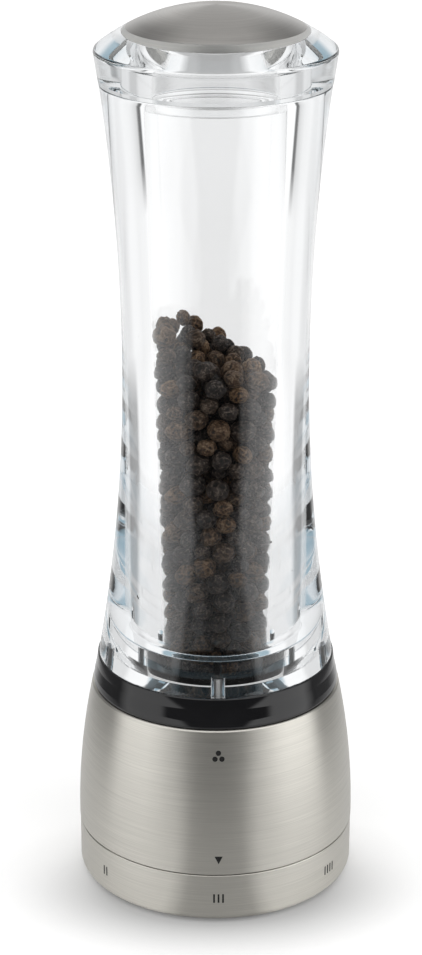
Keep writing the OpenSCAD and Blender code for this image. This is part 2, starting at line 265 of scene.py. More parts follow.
def new_material(name):
    """A material, its node tree and its Principled shader."""
    mat = bpy.data.materials.new(name)
    mat.use_nodes = True
    return mat, mat.node_tree, mat.node_tree.nodes["Principled BSDF"]


def put(socket, value):
    """Links another node's output into a socket, or sets the socket to a value."""
    if isinstance(value, bpy.types.NodeSocket):
        socket.id_data.links.new(value, socket)
    else:
        socket.default_value = value


def add(tree, kind, **values):
    """A node with its properties set, and its inputs filled by name or by number (i0, i1, ...)."""
    made = tree.nodes.new(kind)
    for key, value in values.items():
        if key.startswith("i") and key[1:].isdigit():
            put(made.inputs[int(key[1:])], value)
        elif hasattr(made, key):
            setattr(made, key, value)
        else:
            put(made.inputs[key.replace("_", " ")], value)
    return made


def fill(shader, **values):
    """Fills a shader's inputs, named with _ for a space."""
    for key, value in values.items():
        put(shader.inputs[key.replace("_", " ")], value)


def object_place(tree):
    return add(tree, "ShaderNodeTexCoord").outputs["Object"]


def noise(tree, place, scale, detail=2.0, rough=0.5):
    made = add(tree, "ShaderNodeTexNoise", Vector=place, Scale=scale, Detail=detail, Roughness=rough)
    return made.outputs["Fac"]


def grey(value):
    return (value, value, value)


def greys(*stops):
    """Stops of a ramp of greys, from pairs of a position and a value."""
    return [(at, grey(value)) for at, value in stops]


def ramp(tree, fac, stops):
    """The colour at fac between stops, which are pairs of a position and a colour."""
    made = add(tree, "ShaderNodeValToRGB", i0=fac)
    bands = made.color_ramp.elements
    while len(bands) < len(stops):
        bands.new(0.5)
    for stop, (at, colour) in zip(bands, stops):
        stop.position = at
        stop.color = (*colour, 1)
    return made.outputs["Color"]


def math_node(tree, operation, a, b=0.0):
    return add(tree, "ShaderNodeMath", operation=operation, i0=a, i1=b).outputs[0]


def vector_node(tree, operation, **values):
    return add(tree, "ShaderNodeVectorMath", operation=operation, **values)


def weighted(tree, a, share_a, b, share_b):
    """The sum of two values, each times its share."""
    first = math_node(tree, "MULTIPLY", a, share_a)
    second = math_node(tree, "MULTIPLY", b, share_b)
    return math_node(tree, "ADD", first, second)


def spread(tree, value, lowest, highest, start=0.0):
    """The lowest value where the input is at the start and the highest where it is 1."""
    return add(tree, "ShaderNodeMapRange", i0=value, i1=start, i3=lowest, i4=highest).outputs[0]


def between(tree, value, start, end):
    """0 up to the start, 1 from the end on, and rising between them."""
    return add(tree, "ShaderNodeMapRange", i0=value, i1=start, i2=end, i3=0.0, i4=1.0).outputs[0]


def away_from_front(tree, across, deep):
    """How far a direction is turned from the front: 0 in front, 1 behind."""
    turn = math_node(tree, "ARCTAN2", across, math_node(tree, "MULTIPLY", deep, -1.0))
    return math_node(tree, "DIVIDE", math_node(tree, "ABSOLUTE", turn), math.pi)


def from_axis(tree, parts):
    """Distance from the mill's axis of a place that is split into its parts."""
    flat = add(tree, "ShaderNodeCombineXYZ", i0=parts.outputs[0], i1=parts.outputs[1])
    return vector_node(tree, "LENGTH", i0=flat.outputs[0]).outputs["Value"]


def blended(tree, fac, a, b):
    """Colour a where fac is 0 and b where it is 1."""
    mix = add(tree, "ShaderNodeMix", data_type="RGBA")
    for socket, value in ((mix.inputs[0], fac), (mix.inputs[6], a), (mix.inputs[7], b)):
        put(socket, value)
    return mix.outputs[2]


def bump(tree, shader, height, strength, distance):
    made = add(tree, "ShaderNodeBump", Strength=strength, Distance=distance, Height=height)
    fill(shader, Normal=made.outputs[0])


# ---------------------------------------------------------------- materials


def brush_lines(tree, place, per_metre, across=60.0):
    """Noise drawn out round the axis: fine along the wall's outline, slow round it."""
    parts = add(tree, "ShaderNodeSeparateXYZ", i0=place)
    along = math_node(tree, "ADD", from_axis(tree, parts), parts.outputs[2])
    drawn = add(
        tree,
        "ShaderNodeCombineXYZ",
        i0=math_node(tree, "MULTIPLY", parts.outputs[0], across),
        i1=math_node(tree, "MULTIPLY", parts.outputs[1], across),
        i2=math_node(tree, "MULTIPLY", along, per_metre),
    )
    return noise(tree, drawn.outputs[0], 1.0, 3.0, 0.6)


def brushed_steel(name, colour, rough):
    """Steel with fine and broad brush lines round the axis, which draw its highlights out."""
    mat, tree, shader = new_material(name)
    place = object_place(tree)
    fine = brush_lines(tree, place, 9000.0)
    broad = brush_lines(tree, place, 1400.0, 25.0)
    both = weighted(tree, fine, 0.78, broad, 0.22)
    dark = tuple(0.86 * c for c in colour)
    light = tuple(min(1.0, 1.1 * c) for c in colour)
    fill(shader, Base_Color=ramp(tree, both, [(0.3, dark), (0.7, light)]))
    fill(shader, Roughness=spread(tree, both, rough - 0.08, rough + 0.08))
    fill(shader, Metallic=1.0, Anisotropic=0.8, Anisotropic_Rotation=0.25)
    fill(shader, Tangent=add(tree, "ShaderNodeTangent", direction_type="RADIAL", axis="Z").outputs[0])
    bump(tree, shader, fine, 0.12, 0.00003)
    return mat


# Painted reflection on the cap: how light its colour is made, from the front (0) round to the back (1): at
# its rim, and left and right inside it.
FAN_RIM = greys(
    (0.0, 1.0), (0.12, 0.98), (0.17, 0.86), (0.22, 0.72), (0.30, 0.60),
    (0.38, 0.60), (0.45, 0.72), (0.52, 0.95), (0.62, 1.08), (1.0, 1.1),
)
FAN_LEFT = greys((0.0, 0.99), (0.20, 0.99), (0.28, 1.10), (0.38, 1.18), (1.0, 1.2))
FAN_RIGHT = greys((0.0, 0.99), (0.20, 0.96), (0.32, 0.92), (0.42, 0.96), (1.0, 1.0))
FAN_RIM_FROM = 0.0115  # metres from the axis
FAN_RIM_TO = 0.0170
FAN_MIDDLE = 0.004  # half the width of the change from left to right


def painted_fan_of_light(mat):
    """Paints a turned disc's fan of reflected light and dark into its colour. It stays put in the room while
    the disc turns.
    """
    tree = mat.node_tree
    colour = tree.nodes["Principled BSDF"].inputs["Base Color"]
    parts = add(tree, "ShaderNodeSeparateXYZ", i0=add(tree, "ShaderNodeNewGeometry").outputs["Position"])
    share = away_from_front(tree, parts.outputs[0], parts.outputs[1])
    left = between(tree, parts.outputs[0], FAN_MIDDLE, -FAN_MIDDLE)
    rim = between(tree, from_axis(tree, parts), FAN_RIM_FROM, FAN_RIM_TO)
    inner = blended(tree, left, ramp(tree, share, FAN_RIGHT), ramp(tree, share, FAN_LEFT))
    fan = blended(tree, rim, inner, ramp(tree, share, FAN_RIM))
    plain = colour.links[0].from_socket
    put(colour, vector_node(tree, "MULTIPLY", i0=plain, i1=fan).outputs[0])


def acrylic(name):
    """Clear acrylic, with a faint blue in its depth. Shadow rays pass, so that what is inside gets light."""
    mat, tree, shader = new_material(name)
    place = object_place(tree)
    wear = noise(tree, place, 420.0, 4.0)
    fill(shader, Base_Color=(1, 1, 1, 1), Transmission_Weight=1.0, IOR=1.49)
    fill(shader, Roughness=spread(tree, wear, 0.0, 0.004))
    bump(tree, shader, noise(tree, place, 55.0, 1.0), 0.02, 0.0004)
    clear = add(tree, "ShaderNodeBsdfTransparent")
    shadow_ray = add(tree, "ShaderNodeLightPath").outputs["Is Shadow Ray"]
    mix = add(tree, "ShaderNodeMixShader", i0=shadow_ray, i1=shader.outputs[0], i2=clear.outputs[0])
    depth = add(tree, "ShaderNodeVolumeAbsorption", Color=(0.70, 0.88, 1.0, 1), Density=2.5)
    fill(tree.nodes["Material Output"], Surface=mix.outputs[0], Volume=depth.outputs[0])
    return mat


def moulded(name, colour, rough, vary=0.15, grain=900.0, depth=0.00002, **values):
    """Moulded plastic or rubber: a fine grain, with colour and roughness that drift a little."""
    mat, tree, shader = new_material(name)
    place = object_place(tree)
    drift = noise(tree, place, 90.0, 3.0)
    dark = tuple(c * (1 - vary) for c in colour)
    light = tuple(min(1.0, c * (1 + vary)) for c in colour)
    fine = noise(tree, place, grain, 3.0)
    fill(shader, Base_Color=ramp(tree, drift, [(0.35, dark), (0.65, light)]))
    fill(shader, Roughness=spread(tree, fine, rough * 0.85, min(1.0, rough * 1.15)), **values)
    bump(tree, shader, fine, 0.25, depth)
    return mat


def cup_plastic(name, out_r, top_z):
    """Black cup, with a pale foot that glows faintly as painted light: what is further out than out_r and
    lower than top_z.
    """
    mat, tree, shader = new_material(name)
    place = object_place(tree)
    parts = add(tree, "ShaderNodeSeparateXYZ", i0=place)
    outside = math_node(tree, "GREATER_THAN", from_axis(tree, parts), out_r)
    foot = math_node(tree, "MULTIPLY", outside, math_node(tree, "LESS_THAN", parts.outputs[2], top_z))
    fine = noise(tree, place, 900.0, 3.0)
    black = ramp(tree, fine, greys((0.35, 0.017), (0.65, 0.024)))
    pale_and_glow = ramp(tree, fine, greys((0.35, 0.80), (0.65, 0.88)))
    fill(shader, Base_Color=blended(tree, foot, black, pale_and_glow), Roughness=spread(tree, fine, 0.10, 0.22))
    # the foot's glow is painted light: the cup is no lamp
    fill(shader, Emission_Color=pale_and_glow, Emission_Strength=math_node(tree, "MULTIPLY", foot, 0.62))
    return mat


def turned_metal(name, colour, rough):
    """Metal with the lines of a lathe tool and a fine pitting."""
    mat, tree, shader = new_material(name)
    place = object_place(tree)
    lines = brush_lines(tree, place, 5000.0)
    pits = noise(tree, place, 500.0, 4.0, 0.6)
    both = math_node(tree, "MULTIPLY", math_node(tree, "ADD", lines, pits), 0.5)
    dark = tuple(0.75 * c for c in colour)
    fill(shader, Base_Color=ramp(tree, both, [(0.35, dark), (0.65, colour)]), Metallic=1.0)
    fill(shader, Roughness=spread(tree, both, rough * 0.8, rough * 1.3))
    bump(tree, shader, both, 0.2, 0.00003)
    return mat


def corn_skin(name):
    """Dried pepper: dark in the folds as painted shade, browner and lighter on the ridges as painted
    highlight, each corn with its own tone.
    """
    mat, tree, shader = new_material(name)
    place = object_place(tree)
    tone = add(tree, "ShaderNodeAttribute", attribute_name="tone").outputs["Fac"]
    ridge = add(tree, "ShaderNodeAttribute", attribute_name="ridge").outputs["Fac"]
    speck = noise(tree, place, 2200.0, 4.0, 0.7)
    patch = noise(tree, place, 420.0, 2.0)
    crisp = ramp(tree, speck, greys((0.36, 0.0), (0.66, 1.0)))
    height = weighted(tree, ridge, 0.5, crisp, 0.5)
    # Colours from the folds (painted shade) to the ridges (painted highlight), for black corns and for brown
    # ones.
    black = [(0.15, (0.002, 0.0018, 0.0017)), (0.6, (0.036, 0.028, 0.024)), (1.0, (0.36, 0.30, 0.26))]
    brown = [(0.15, (0.010, 0.005, 0.003)), (0.55, (0.24, 0.135, 0.07)), (1.0, (0.72, 0.50, 0.31))]
    browned = math_node(tree, "MULTIPLY", tone, spread(tree, patch, 0.6, 1.4))
    fill(shader, Base_Color=blended(tree, browned, ramp(tree, height, black), ramp(tree, height, brown)))
    fill(shader, Roughness=spread(tree, speck, 0.38, 0.68), Specular_IOR_Level=0.32)
    bump(tree, shader, speck, 0.6, 0.00022)
    return mat


def mark_paint(name):
    """Black fill of the engraved marks."""
    mat, tree, shader = new_material(name)
    fine = noise(tree, object_place(tree), 3000.0, 2.0)
    fill(shader, Base_Color=ramp(tree, fine, greys((0.3, 0.008), (0.7, 0.022))), Roughness=0.5, Metallic=0.3)
    return mat


STEEL = brushed_steel("brushed_steel", (0.64, 0.622, 0.572), 0.34)
DISC_STEEL = brushed_steel("brushed_steel_disc", (0.47, 0.455, 0.435), 0.34)
# A painted fan of reflected light and dark on the cap's steel.
painted_fan_of_light(DISC_STEEL)
# The cap's edge: a lighter copy of the disc's steel, as painted light on its turned-down edge.
DISC_EDGE_PAINTED_LIGHT = brushed_steel("brushed_steel_edge", (0.66, 0.645, 0.615), 0.40)
CLEAR = acrylic("clear_acrylic")
GLOSS_BLACK = moulded("gloss_black", (0.011, 0.011, 0.012), 0.07, depth=0.000004, IOR=1.5)
# The hopper's pale foot glows, as painted light.
CUP_BLACK = cup_plastic("cup_black", 0.0165, 0.055)  # metres
PIN_WHITE = moulded("pin_white", (0.93, 0.93, 0.92), 0.3, 0.03)
BLACK_PLASTIC = moulded("black_plastic", (0.022, 0.023, 0.024), 0.42)
WHITE_PLASTIC = moulded("white_plastic", (0.80, 0.80, 0.78), 0.38, 0.04)
RUBBER = moulded("foot_rubber", (0.028, 0.028, 0.029), 0.8, 0.2, 1500.0, 0.00004)
SEAL_RUBBER = moulded("seal_rubber", (0.62, 0.64, 0.65), 0.45, 0.05)
BURR_STEEL = turned_metal("burr_steel", (0.22, 0.21, 0.21), 0.38)
PLATED_STEEL = turned_metal("plated_steel", (0.68, 0.67, 0.65), 0.22)
CLEAR_SEAL = acrylic("clear_silicone")
CORN_SKIN = corn_skin("peppercorn")
MARK = mark_paint("mark")

NODE_MATERIALS = {
    "base_housing": BLACK_PLASTIC,
    "burr_ring": BURR_STEEL,
    "burr_screws": PLATED_STEEL,
    "bottom_plate": BLACK_PLASTIC,
    "bottom_screws": PLATED_STEEL,
    "foot_ring": RUBBER,
    "click_spring": PLATED_STEEL,
    "glide_washer": WHITE_PLASTIC,
    "setting_ring_liner": BLACK_PLASTIC,
    "bridge": WHITE_PLASTIC,
    "thrust_ball": PLATED_STEEL,
    "hopper": CUP_BLACK,
    "drive_spider": WHITE_PLASTIC,
    "drive_pins": PIN_WHITE,
    "retaining_ring": BLACK_PLASTIC,
    "retaining_screws": PLATED_STEEL,
    "body_seal": SEAL_RUBBER,
    "burr_spring": PLATED_STEEL,
    "rotor_burr": BURR_STEEL,
    "spindle": PLATED_STEEL,
    "spring_washer": PLATED_STEEL,
    "circlip": PLATED_STEEL,
    "lid_seal": CLEAR_SEAL,
}


def dress(piece, material, body=None):
    """Gives a piece its material, and its body where one is named."""
    piece.data.materials.clear()
    piece.data.materials.append(material)
    if body:
        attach(piece, body)
    return piece


for node, material in NODE_MATERIALS.items():
    dress(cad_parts[node], material)


# ---------------------------------------------------------------- clear parts and steel


def make_body():
    """The waisted clear body, with its spigot, bore and pin holes."""
    seat = FOOT_Z + AIR
    outline = [(COUNTERBORE_R, SPIGOT_Z), (SPIGOT_R, SPIGOT_Z, 0.3)]
    outline += square_groove(SPIGOT_R, 1.2, SEAL_Z, 0.65)
    outline += [(SPIGOT_R, seat), (waisted(seat), seat, 0.25)]
    outline += [(waisted(z), z) for z in spaced(seat + CURVE_STOP, SEAM_Z - CURVE_STOP, 110)]
    outline += [(waisted(SEAM_Z), SEAM_Z, 0.25), (bore_at(SEAM_Z), SEAM_Z, 0.25)]
    outline += [(bore_at(z), z) for z in spaced(SEAM_Z - CURVE_STOP, COUNTERBORE_TOP + CURVE_STOP, 30)]
    outline += [(bore_at(COUNTERBORE_TOP), COUNTERBORE_TOP, 0.35), (COUNTERBORE_R, COUNTERBORE_TOP, 0.4)]
    body = lathe("body_clear", rounded(outline))
    holes = []
    for i in range(PINS):
        a = math.radians(FRONT + 360 / PINS * i)
        x, y = PIN_CIRCLE_R * math.cos(a), PIN_CIRCLE_R * math.sin(a)
        holes.append(round_pin(f"hole_{i}", x, y, PIN_HOLE_R, FOOT_Z - 1, PIN_HOLE_TOP))
    cut(body, holes)
    dress(body, CLEAR, "body")
    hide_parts("body_tube")


def make_lid():
    """The clear lid: a plug with a groove for its seal, a bevelled rim and a seat for the disc."""
    foot = SEAM_Z + AIR
    plug_r = bore_at(PLUG_Z) - 0.25  # clear of the bore
    corner_r = 1.2
    corner_z = DOME_Z + math.sqrt((DOME_R - corner_r) ** 2 - (LID_R - corner_r) ** 2)
    corner_end = math.atan2(corner_z - DOME_Z, LID_R - corner_r)
    rim = CAP_R - GLUED
    outline = [(LID_HOLLOW_R, PLUG_Z, 0.25), (plug_r, PLUG_Z, 0.3)]
    outline += square_groove(plug_r, 0.75, PLUG_SEAL_Z, 0.55)
    outline += [(plug_r, foot, 0.2), (LID_LOW_R, foot, 0.25)]
    for t in spaced(0.2, 0.95, 8):
        outline.append((LID_LOW_R + (LID_R - LID_LOW_R) * t, foot + (corner_z - foot) * t))
    for a in spaced(0, corner_end, 8):
        outline.append((LID_R - corner_r + corner_r * math.cos(a), corner_z + corner_r * math.sin(a)))
    for r in spaced(math.cos(corner_end) * DOME_R, rim + 0.3, 14)[1:]:
        outline.append((r, dome_at(r)))
    outline += [(rim, dome_at(rim)), (rim, CAP_SKIRT_Z + GLUED), (0, CAP_SKIRT_Z + GLUED)]
    outline += [(0, LID_HOLLOW_TOP), (LID_HOLLOW_R, LID_HOLLOW_TOP, 1.5)]
    lid = lathe("lid_clear", rounded(outline))
    dress(lid, CLEAR, "lid")
    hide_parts("lid")


def make_cap():
    """The domed steel disc on the lid, with its edge turned down. The edge gets a lighter copy of the disc's
    steel, as painted light.
    """
    sheet = 0.7
    edge = CAP_R - 0.1
    outline = [(r, dome_at(r)) for r in spaced(0, edge - 0.6, 60)]
    outline += [(CAP_R, dome_at(CAP_R), 0.06), (CAP_R, CAP_SKIRT_Z, 0.15), (CAP_R - sheet, CAP_SKIRT_Z, 0.15)]
    outline += [(r, dome_at(r, sheet)) for r in spaced(CAP_R - sheet, 0, 30)]
    cap = lathe("cap_disc", rounded(outline))
    dress(cap, DISC_STEEL, "lid")
    cap.data.materials.append(DISC_EDGE_PAINTED_LIGHT)
    # the steep edge faces take the lighter steel, painted light
    for face in cap.data.polygons:
        face.material_index = 1 if abs(face.normal.z) < EDGE_STEEPNESS else 0
    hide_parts("cap")


def make_shell():
    """The base's steel shell, with a rolled lip at its top."""
    sheet = 0.8
    lip = 0.5
    lip_z = SHELL_TOP - lip
    lip_r = shell_at(lip_z) - lip
    outline = [(shell_at(SHELL_LOW), SHELL_LOW, 0.15)]
    outline += [(shell_at(z), z) for z in spaced(SHELL_LOW + 0.6, lip_z, 50)]
    for a in spaced(0, math.pi, 12)[1:]:
        outline.append((lip_r + lip * math.cos(a), lip_z + lip * math.sin(a)))
    outline += [(lip_r - lip, lip_z - 0.4), (shell_at(lip_z - 1) - sheet, lip_z - 1)]
    outline += [(shell_at(z) - sheet, z) for z in spaced(lip_z - 3, SHELL_LOW + 0.6, 20)]
    outline += [(shell_at(SHELL_LOW) - sheet, SHELL_LOW, 0.15)]
    shell = lathe("shell_steel", rounded(outline))
    dress(shell, STEEL, "base")
    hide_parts("base_shell")


def make_setting_ring():
    """The steel ring that sets the grind, with a flange turned in at its foot."""
    wall = 0.9
    flange_r = RING_R - 3.5
    outline = [(flange_r, RING_LOW, 0.2), (RING_R, RING_LOW, 2.4), (RING_R, RING_TOP, 0.3)]
    outline += [(RING_R - wall, RING_TOP, 0.2), (RING_R - wall, RING_LOW + wall, 1.5)]
    outline += [(flange_r, RING_LOW + wall, 0.2)]
    ring = lathe("setting_ring_steel", rounded(outline, 10))
    dress(ring, STEEL, "setting_ring")
    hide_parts("setting_ring")


def make_collar():
    """The glossy collar: a flared skirt, and a sleeve that reaches down into the base."""
    sleeve_r, sleeve_in, sleeve_z = 24.25, COUNTERBORE_R, low("collar")
    socket_r, socket_z = SPIGOT_R + 0.15, 49.9
    skirt_r, skirt_z = 28.1, 48.7
    step_z = high("glide_washer") + 0.05
    outline = [(socket_r, FOOT_Z, 0.2), (28.05, FOOT_Z, 0.35), (28.42, 53.2, 2.0), (29.0, 50.6, 3.0)]
    outline += [(29.2, 49.2, 0.4), (29.1, skirt_z, 0.15), (skirt_r, skirt_z), (skirt_r, step_z)]
    outline += [(sleeve_r, step_z), (sleeve_r, sleeve_z), (sleeve_in, sleeve_z)]
    outline += [(sleeve_in, socket_z), (socket_r, socket_z)]
    collar = lathe("collar_ring", rounded(outline))
    dress(collar, GLOSS_BLACK, "body")
    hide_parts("collar")


def make_burr_spring():
    """The coil above the grinding cone."""
    wire, coil_r, turns, per_turn, sides = 0.4, 4.6, 8, 32, 12
    foot, top = low("burr_spring"), high("burr_spring")
    rise = (top - foot - 2 * wire) / (turns * per_turn)
    mesh = bpy.data.meshes.new("burr_coil")
    build = bmesh.new()
    rings = []
    for i in range(turns * per_turn + 1):
        a = 2 * math.pi * i / per_turn
        z = foot + wire + rise * i
        ring = []
        for j in range(sides):
            b = 2 * math.pi * j / sides
            ring.append(build.verts.new(point_at(coil_r + wire * math.cos(b), z + wire * math.sin(b), a)))
        rings.append(ring)
    for back, ahead in zip(rings, rings[1:]):
        band(build, back, ahead)
    build.faces.new(rings[0])
    build.faces.new(rings[-1])
    finish_mesh(build, mesh)
    shade(mesh)
    coil = dress(new_object("burr_coil", mesh), PLATED_STEEL)
    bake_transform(coil)
    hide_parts("burr_spring")


# ---------------------------------------------------------------- peppercorns

CORN_SEED = 21  # lengths are in mm
CORN_COUNT = 720  # dropped in, before the heap is cut to its surface
CORN_R = (1.85, 2.75)
CORN_LOW_Z = high("drive_spider") + 1.0
DROP_TOP = 250.0
DROP_R = 11.0
SETTLE_STEPS = 700
REST_STEPS = 100
FALL = 0.3  # mm in each step, and CREEP for a corn that rests on another
CREEP = 0.035
PUSH = 0.45  # share of an overlap that each of two corns gives way by
HEAP_Z = 134.8
HEAP_SIDE_X = 3.5  # the heap's left and right slopes start at -HEAP_SIDE_X
HEAP_EDGE_X = 9.0  # further right it falls more steeply
LONE_REACH = 1.12  # a corn is another's neighbour up to this many times their two radii apart
FEWEST_NEIGHBOURS = 3
CORNS_PER_PIECE = 38
WRINKLE_CELLS = 58
HOPPER_TRIES = 6000
HOPPER_CORN_R = (1.95, 2.5)
SPRING_CLEAR_R = 5.3
FUNNEL_R = 12.0  # up to FUNNEL_Z, and FUNNEL_TAPER wider for each mm above it
FUNNEL_Z = 31.0
FUNNEL_TAPER = 0.13


def heap_wall(z):
    """Inner radius of what holds the corns at a height."""
    return BORE_R + BORE_TAPER * np.clip(z - BORE_Z, 0.0, None)


def heap_surface(x, y):
    """Height of the heap's top: high at the back left, falling to the front right."""
    left = np.clip(-HEAP_SIDE_X - x, 0.0, None)
    right = np.clip(x + HEAP_SIDE_X, 0.0, None)
    edge = np.clip(x - HEAP_EDGE_X, 0.0, None)
    return HEAP_Z + 0.5 * left - 0.42 * right - 0.6 * edge + 0.12 * y


def close_pairs(p, reach):
    """Index pairs of the corns that are less than a reach apart, both in height and in plan."""
    order = np.argsort(p[:, 2])
    z = p[order, 2]
    ends = np.searchsorted(z, z + reach)
    i = np.repeat(np.arange(len(p)), ends - np.arange(len(p)) - 1)
    j = np.concatenate([np.arange(k + 1, e) for k, e in enumerate(ends)])
    a, b = order[i], order[j]
    near = np.hypot(*(p[b] - p[a])[:, :2].T) < reach
    return a[near], b[near]


def settle(rng, count):
    """Corns dropped into the bore and pushed apart until they rest on each other."""
    r = rng.uniform(*CORN_R, count)
    turn = rng.uniform(0, 2 * math.pi, count)
    spoke = np.sqrt(rng.uniform(0, 1, count)) * DROP_R
    p = np.stack([spoke * np.cos(turn), spoke * np.sin(turn), rng.uniform(CORN_LOW_Z, DROP_TOP, count)], 1)
    held = np.zeros(count, bool)
    for step in range(SETTLE_STEPS + REST_STEPS):
        if step % 8 == 0:
            a, b = close_pairs(p, 3.0 * CORN_R[1])
        if step < SETTLE_STEPS:
            p[:, 2] -= np.where(held, CREEP, FALL)
        for _ in range(2):
            d = p[b] - p[a]
            gap = np.linalg.norm(d, axis=1)
            bite = np.clip(r[a] + r[b] - gap, 0, None)
            push = d * (PUSH * bite / np.maximum(gap, 1e-6))[:, None]
            np.add.at(p, a, -push)
            np.add.at(p, b, push)
            spoke = np.hypot(p[:, 0], p[:, 1])
            limit = heap_wall(p[:, 2]) - r - 0.05
            p[:, :2] *= np.minimum(1.0, limit / np.maximum(spoke, 1e-6))[:, None]
            p[:, 2] = np.maximum(p[:, 2], CORN_LOW_Z + r)
        held = p[:, 2] < CORN_LOW_Z + r + 0.01
        touch = bite > 0
        held[np.where(d[touch, 2] > 0, b[touch], a[touch])] = True
    return p, r


def wrinkled(rng, level):
    """A unit ball with the raised net of a dried peppercorn, and how high each point stands."""
    build = bmesh.new()
    bmesh.ops.create_icosphere(build, subdivisions=level, radius=1.0)
    co = np.array([v.co for v in build.verts])
    faces = np.array([[v.index for v in f.verts] for f in build.faces])
    build.free()
    seeds = rng.normal(size=(WRINKLE_CELLS, 3))
    seeds /= np.linalg.norm(seeds, axis=1)[:, None]
    bent = co + 0.18 * np.sin(co[:, [1, 2, 0]] * 5.0 + rng.uniform(0, 6, 3))
    far = np.sort(np.linalg.norm(bent[:, None] - seeds[None], axis=2), axis=1)
    ridge = 1.0 - np.clip((far[:, 1] - far[:, 0]) / 0.20, 0, 1)
    ridge = ridge * ridge * (3 - 2 * ridge)
    swell = 1 + 0.06 * np.sin(co @ rng.normal(size=3) * 2.6) * np.cos(co @ rng.normal(size=3) * 2.0)
    height = swell * (0.91 + 0.125 * ridge)
    squash = 1 - 0.10 * np.abs(rng.normal(size=3)).clip(0, 1.4)
    return co * height[:, None] * squash, faces, ridge


def random_turn(rng):
    """A rotation matrix drawn evenly from all rotations."""
    q = rng.normal(size=4)
    w, x, y, z = q / np.linalg.norm(q)
    return np.array(
        [
            [1 - 2 * (y * y + z * z), 2 * (x * y - z * w), 2 * (x * z + y * w)],
            [2 * (x * y + z * w), 1 - 2 * (x * x + z * z), 2 * (y * z - x * w)],
            [2 * (x * z - y * w), 2 * (y * z + x * w), 1 - 2 * (x * x + y * y)],
        ]
    )


def corn_mesh(name, places, sizes, tones, forms, rng):
    """One mesh of many corns, with each point's tone and ridge height kept as attributes."""
    points, faces, tone, ridge = [], [], [], []
    start = 0
    for place, size, shade_of in zip(places, sizes, tones):
        co, tri, up = forms[rng.integers(len(forms))]
        points.append((co * size) @ random_turn(rng).T + place)
        faces.append(tri + start)
        tone.append(np.full(len(co), shade_of))
        ridge.append(up)
        start += len(co)
    mesh = bpy.data.meshes.new(name)
    mesh.from_pydata((np.concatenate(points) * MM).tolist(), [], np.concatenate(faces).tolist())
    for label, values in (("tone", tone), ("ridge", ridge)):
        layer = mesh.attributes.new(label, "FLOAT", "POINT")
        layer.data.foreach_set("value", np.concatenate(values).astype(np.float32))
    mesh.polygons.foreach_set("use_smooth", [True] * len(mesh.polygons))
    return new_object(name, mesh)


def make_corns():
    """The corns in the body, cut to the heap's surface and without the lone ones on it."""
    rng = np.random.default_rng(CORN_SEED)
    places, sizes = settle(rng, CORN_COUNT)
    top = heap_surface(places[:, 0], places[:, 1]) + rng.uniform(-0.5, 0.5, len(places))
    keep = places[:, 2] + 0.6 * sizes < top
    places, sizes = places[keep], sizes[keep]
    for _ in range(3):
        apart = np.linalg.norm(places[:, None] - places[None], axis=2)
        near = (apart < LONE_REACH * (sizes[:, None] + sizes[None])).sum(1) - 1
        places, sizes = places[near >= FEWEST_NEIGHBOURS], sizes[near >= FEWEST_NEIGHBOURS]
    tones = np.clip(rng.beta(0.5, 1.25, len(places)), 0, 1)
    forms = [wrinkled(rng, 4) for _ in range(10)]
    order = np.argsort(places[:, 2])
    for number, first in enumerate(range(0, len(order), CORNS_PER_PIECE)):
        part = order[first : first + CORNS_PER_PIECE]
        heap = corn_mesh(f"corns_{number + 1:02d}", places[part], sizes[part], tones[part], forms, rng)
        dress(heap, CORN_SKIN, "body")
        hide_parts("peppercorns")


def make_hopper_corns():
    """Corns round the spring, in the funnel above the burrs."""
    rng = np.random.default_rng(CORN_SEED + 1)
    places, sizes = [], []
    floor, top = low("hopper_peppercorns"), high("hopper_peppercorns")
    for _ in range(HOPPER_TRIES):
        size = rng.uniform(*HOPPER_CORN_R)
        z = rng.uniform(floor + size, top - size)
        wall = FUNNEL_R + max(0.0, z - FUNNEL_Z) * FUNNEL_TAPER - size
        a = rng.uniform(0, 2 * math.pi)
        spoke = rng.uniform(SPRING_CLEAR_R + size, wall)
        spot = np.array([spoke * math.cos(a), spoke * math.sin(a), z])
        if all(np.linalg.norm(spot - p) > size + s for p, s in zip(places, sizes)):
            places.append(spot)
            sizes.append(size)
    forms = [wrinkled(rng, 3) for _ in range(4)]
    tones = np.clip(rng.beta(1.2, 2.4, len(places)), 0, 1)
    corns = corn_mesh("corns_hopper", places, sizes, tones, forms, rng)
    dress(corns, CORN_SKIN, "body")
    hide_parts("hopper_peppercorns")


# ---------------------------------------------------------------- marks on the steel

MARK_LIFT = 0.02  # how far the marks stand proud of the steel, in mm
MARK_DEPTH = -0.05
POINTER = [(-0.95, 17.8), (0.95, 17.8), (0.0, 15.8)]  # across and up
DOTS = [(-0.8, 42.0), (0.8, 42.0), (0, 43.4)]
DOT_R = 0.62
STROKE_Z = 6.6
STROKE_WIDTH = 0.42
STROKE_TALL = 2.3
STROKE_PITCH = 1.05


def wrapped(name, polygons, wall):
    """Thin marks bent round a wall of radius wall(z). A polygon has its points and its turn in degrees."""
    mesh = bpy.data.meshes.new(name)
    build = bmesh.new()
    for shape, turn in polygons:
        layers = []
        for lift in (MARK_DEPTH, MARK_LIFT):
            ring = []
            for across, z in shape:
                a = math.radians(FRONT + turn) + across / wall(z)
                ring.append(build.verts.new(point_at(wall(z) + lift, z, a)))
            layers.append(ring)
        back, front = layers
        build.faces.new(front)
        build.faces.new(list(reversed(back)))
        band(build, back, front)
    finish_mesh(build, mesh)
    return new_object(name, mesh)


def bar(x, z, width, tall):
    """Corners of an upright bar round its middle."""
    left, right = x - width / 2, x + width / 2
    foot, top = z - tall / 2, z + tall / 2
    return [(left, foot), (right, foot), (right, top), (left, top)]


def disc(x, z, r, steps=28):
    """Points round a disc's edge."""
    turn = [2 * math.pi * k / steps for k in range(steps)]
    return [(x + r * math.cos(a), z + r * math.sin(a)) for a in turn]


